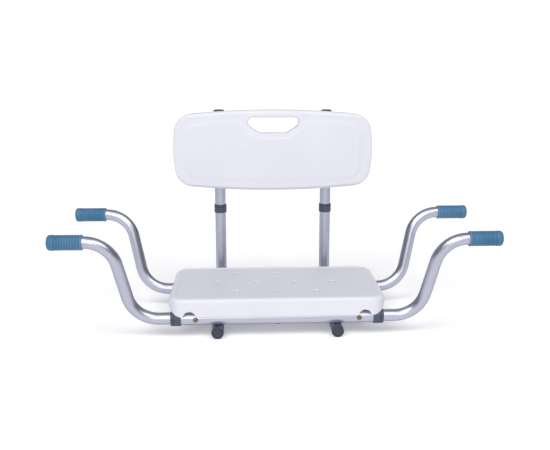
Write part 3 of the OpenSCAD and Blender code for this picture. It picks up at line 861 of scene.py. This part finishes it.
def foot_plugs(mats):
    for name, _ in SIDES:
        low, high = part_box(name + "_foot_plug")
        mid = (low + high) / 2
        radius, length, head = (high.x - low.x) / 2, high.y - low.y, 7 * MM
        bore = TUBE_R - 1.55 * MM
        profile = [(0, 0.6 * MM), (1.3 * MM, 0.6 * MM), (1.7 * MM, 0.2 * MM), (2.2 * MM, 0.0)]
        profile += [(radius - 4.6 * MM, 0.0), (radius - 4.2 * MM, 0.35 * MM), (radius - 3.6 * MM, 0.35 * MM),
                    (radius - 3.2 * MM, 0.0)]
        profile += arc(radius - 1.6 * MM, 1.6 * MM, 1.6 * MM, -90, 0, 6)
        profile += [(radius, head - 0.5 * MM), (radius - 0.4 * MM, head), (bore, head)]
        for i in range(2):
            at = head + (0.8 + 2.4 * i) * MM
            profile += [(bore - 0.5 * MM, at), (bore, at + 0.8 * MM), (bore, at + 1.4 * MM)]
        profile += [(bore - 1.5 * MM, length), (0, length)]
        plug = lathe(name + "_foot_plug_cap", profile, axis_place((mid.x, low.y, mid.z), (0, 1, 0)), 72)
        finish_piece(plug, "frame", "dark_rubber", mats["rubber"], name + "_foot_plug")


def post_collars(mats):
    for name, _ in SIDES:
        low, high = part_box(name + "_post_collar")
        mid = (low + high) / 2
        outer, length = (high.x - low.x) / 2, high.z - low.z
        lip, spigot = 12 * MM, TUBE_R - 1.5 * MM
        profile = [(TUBE_R + 0.05 * MM, 0)]
        profile += arc(outer - 1 * MM, 1 * MM, 1 * MM, -90, 0, 4)
        profile += [(outer, length - 5.2 * MM), (outer - 0.5 * MM, length - 4.7 * MM),
                    (outer - 0.5 * MM, length - 4.1 * MM), (outer, length - 3.6 * MM)]
        profile += arc(outer - 1.4 * MM, length - 1.4 * MM, 1.4 * MM, 0, 90, 5)
        profile += [(spigot, length), (spigot, lip), (TUBE_R + 0.05 * MM, lip)]
        collar = lathe(name + "_post_collar_ring", profile, axis_place((mid.x, mid.y, low.z), (0, 0, 1)), 72)
        finish_piece(collar, "frame", "slate_plastic", mats["slate"], name + "_post_collar")


def post_caps(mats):
    for name, _ in SIDES:
        low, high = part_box(name + "_post_cap")
        mid = (low + high) / 2
        radius, bore, plug = (high.x - low.x) / 2, TUBE_R - 1.55 * MM, 14 * MM
        top = high.z - low.z
        profile = [(0, 0), (bore - 1 * MM, 0), (bore, 1 * MM), (bore, plug), (radius, plug)]
        profile += [(radius, top - 2.6 * MM)]
        for t in (18, 36, 54, 72, 86):
            a = math.radians(t)
            profile.append((radius - 2.6 * MM * (1 - math.cos(a)), top - 2.6 * MM + 2.2 * MM * math.sin(a)))
        profile += [(radius * 0.45, top - 0.1 * MM), (0, top)]
        cap = lathe(name + "_post_cap_plug", profile, axis_place((mid.x, mid.y, low.z), (0, 0, 1)), 64, 50)
        finish_piece(cap, "backrest", "dark_rubber", mats["rubber"], name + "_post_cap")


def screw_head(name, place, radius, height, shank_r, shank_len):
    """A pan head with a cross recess, on its plain shank. Local Z points out of the head."""
    profile = [(0, -shank_len), (shank_r - 0.4 * MM, -shank_len), (shank_r, -shank_len + 0.6 * MM)]
    profile += [(shank_r, 0), (radius - 0.2 * MM, 0), (radius, 0.3 * MM)]
    for t in (15, 30, 45, 60, 75):
        a = math.radians(t)
        profile.append((radius * math.cos(a) ** 0.7, 0.3 * MM + (height - 0.3 * MM) * math.sin(a)))
    profile.append((0, height))
    screw = lathe(name, profile, place, 40, 50)
    tools = []
    arm, half, depth = radius * 0.5, radius * 0.1, height * 0.3
    levels = ((0.55 * arm, 0.5 * half, depth), (arm, half, height + 1 * MM))
    for turn in (0, 90):
        verts = [(sx * wide, sy * slim, z) for wide, slim, z in levels
                 for sx, sy in ((-1, -1), (1, -1), (1, 1), (-1, 1))]
        spin = place @ Matrix.Rotation(math.radians(turn), 4, "Z")
        faces = [(0, 1, 2, 3), (4, 5, 6, 7), (0, 1, 5, 4), (1, 2, 6, 5), (2, 3, 7, 6), (3, 0, 4, 7)]
        tools.append(mesh_object("tool", [spin @ Vector(v) for v in verts], faces))
    cut(screw, tools)
    return screw


def joined(name, parts):
    """One object made of several closed solids."""
    bm = bmesh.new()
    for part in parts:
        bm.from_mesh(part.data)
    mesh = bpy.data.meshes.new(name)
    bm.to_mesh(mesh)
    bm.free()
    for part in parts:
        bpy.data.objects.remove(part)
    return new_object(name, mesh)


def screws(mats):
    post = box_centre("right_backrest_post")
    low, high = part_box("backrest_screws")
    heads = []
    for side in (-1, 1):
        for z in (low.z + 4.6 * MM, high.z - 4.6 * MM):
            place = axis_place((side * post.x, post.y + TUBE_R, z), (0, 1, 0))
            heads.append(screw_head("part", place, 4.6 * MM, 2.5 * MM, 2.4 * MM, post.y + TUBE_R - low.y))
    back_screws = joined("backrest_pan_screws", heads)
    finish_piece(back_screws, "backrest", "steel_fasteners", mats["steel"], "backrest_screws")

    low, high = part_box("seat_screws")
    heads = []
    for tube in ("front_cross_tube", "rear_cross_tube"):
        mid = box_centre(tube)
        place = axis_place((0, mid.y, mid.z - CROSS_R), (0, 0, -1))
        heads.append(screw_head("part", place, 5 * MM, 3 * MM, 3 * MM, high.z - (mid.z - CROSS_R)))
    finish_piece(joined("seat_pan_screws", heads), "frame", "steel_fasteners", mats["steel"], "seat_screws")


def cad_materials(mats):
    """Materials of the CAD nodes that are shown as they are."""
    plan = {"front_cross_tube": "tube_x", "rear_cross_tube": "tube_x", "support_bolts": "steel",
            "saddle_washers": "steel", "threaded_inserts": "brass"}
    for name, _, _ in QUARTERS:
        plan[name + "_clip"] = "spring"
    for name, _ in SIDES:
        plan[name + "_support_tube"] = "tube_bent"
        plan[name + "_backrest_post"] = "tube_z"
    for node, key in plan.items():
        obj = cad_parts[node]
        obj.data.materials.clear()
        obj.data.materials.append(mats[key])


# ---- Floor, lights and camera ----


def floor():
    r = FLOOR_REACH
    corners = [(-r, -r, 0), (r, -r, 0), (r, r, 0), (-r, r, 0)]
    plane = mesh_object("studio_floor", corners, [(0, 1, 2, 3)])
    s = Shader("pale_floor")
    s.colour(s.ramp(s.noise(3.0, 2.0), [(0.3, (0.93, 0.93, 0.93)), (0.7, (0.95, 0.95, 0.95))]))
    s.rough(s.span(s.noise(20.0), 0.75, 0.85))
    s.set(Emission_Color=(1.0, 1.0, 1.0, 1.0), Emission_Strength=FLOOR_GLOW)
    plane.data.materials.append(s.material)


def soft_sun(name, place, spread, power):
    """Even, soft light from the direction of a place, as wide as a large soft box."""
    data = bpy.data.lights.new(name, "SUN")
    data.energy = power
    data.angle = math.radians(spread)
    obj = bpy.data.objects.new(name, data)
    bpy.context.scene.collection.objects.link(obj)
    obj.rotation_mode = "QUATERNION"
    obj.rotation_quaternion = (-Vector(place)).to_track_quat("-Z", "Y")


def lights():
    """A studio: a pale backdrop, dim sides and ceiling, two soft boxes above and a fill in front."""
    world = bpy.data.worlds.new("studio")
    bpy.context.scene.world = world
    world.use_nodes = True
    tree = world.node_tree
    background = tree.nodes["Background"]
    direction = tree.nodes.new("ShaderNodeTexCoord")
    parts = tree.nodes.new("ShaderNodeSeparateXYZ")
    ramp = tree.nodes.new("ShaderNodeValToRGB")
    aside = tree.nodes.new("ShaderNodeMath")
    aside.operation = "ABSOLUTE"
    screen = tree.nodes.new("ShaderNodeMapRange")
    screen.interpolation_type = "SMOOTHSTEP"
    for key, number in (("From Min", 0.44), ("From Max", 0.66), ("To Min", 1.0), ("To Max", SIDE_SHADE)):
        screen.inputs[key].default_value = number
    front = tree.nodes.new("ShaderNodeMapRange")
    front.interpolation_type = "SMOOTHSTEP"
    for key, number in (("From Min", -0.3), ("From Max", 0.3), ("To Min", FRONT_SHADE), ("To Max", 1.0)):
        front.inputs[key].default_value = number
    both = tree.nodes.new("ShaderNodeMath")
    both.operation = "MULTIPLY"
    shade = tree.nodes.new("ShaderNodeVectorMath")
    shade.operation = "SCALE"
    tree.links.new(direction.outputs["Generated"], parts.inputs[0])
    tree.links.new(parts.outputs["Z"], ramp.inputs[0])
    tree.links.new(parts.outputs["X"], aside.inputs[0])
    tree.links.new(aside.outputs[0], screen.inputs["Value"])
    tree.links.new(ramp.outputs[0], shade.inputs[0])
    tree.links.new(parts.outputs["Y"], front.inputs["Value"])
    tree.links.new(screen.outputs[0], both.inputs[0])
    tree.links.new(front.outputs[0], both.inputs[1])
    tree.links.new(both.outputs[0], shade.inputs["Scale"])
    rays = tree.nodes.new("ShaderNodeLightPath")
    backdrop = tree.nodes.new("ShaderNodeMix")
    backdrop.data_type = "RGBA"
    backdrop.inputs[7].default_value = (HORIZON, HORIZON, HORIZON, 1)
    tree.links.new(rays.outputs["Is Camera Ray"], backdrop.inputs["Factor"])
    tree.links.new(shade.outputs[0], backdrop.inputs[6])
    tree.links.new(backdrop.outputs[2], background.inputs["Color"])
    elements = ramp.color_ramp.elements
    elements[0].position, elements[0].color = 0.06, (HORIZON, HORIZON, HORIZON * 1.02, 1)
    elements[1].position, elements[1].color = 0.38, (ZENITH, ZENITH, ZENITH * 1.08, 1)
    background.inputs["Strength"].default_value = 1.0
    for name, place, spread, power in SOFT_LIGHTS:
        soft_sun(name, place, spread, power)


def camera():
    level = math.cos(CAMERA_PITCH)
    forward = Vector((-math.sin(CAMERA_YAW) * level, math.cos(CAMERA_YAW) * level, -math.sin(CAMERA_PITCH)))
    right = Vector((math.cos(CAMERA_YAW), math.sin(CAMERA_YAW), 0))
    up = right.cross(forward)
    right_rolled = right * math.cos(CAMERA_ROLL) + up * math.sin(CAMERA_ROLL)
    up_rolled = up * math.cos(CAMERA_ROLL) - right * math.sin(CAMERA_ROLL)
    turn = Matrix((right_rolled, up_rolled, -forward)).transposed().to_4x4()
    data = bpy.data.cameras.new("camera")
    data.sensor_width = 36
    data.lens = CAMERA_LENS
    data.shift_x, data.shift_y = CAMERA_SHIFT
    obj = bpy.data.objects.new("camera", data)
    bpy.context.scene.collection.objects.link(obj)
    obj.matrix_world = Matrix.Translation(CAMERA_AT) @ turn
    bpy.context.scene.camera = obj
    bpy.context.scene.view_settings.view_transform = "Standard"


def main():
    mats = make_materials()
    cad_materials(mats)
    seat_board(mats)
    backrest_board(mats)
    arms(mats)
    grips(mats)
    collars(mats)
    buttons(mats)
    foot_plugs(mats)
    post_collars(mats)
    post_caps(mats)
    screws(mats)
    floor()
    lights()
    camera()


main()
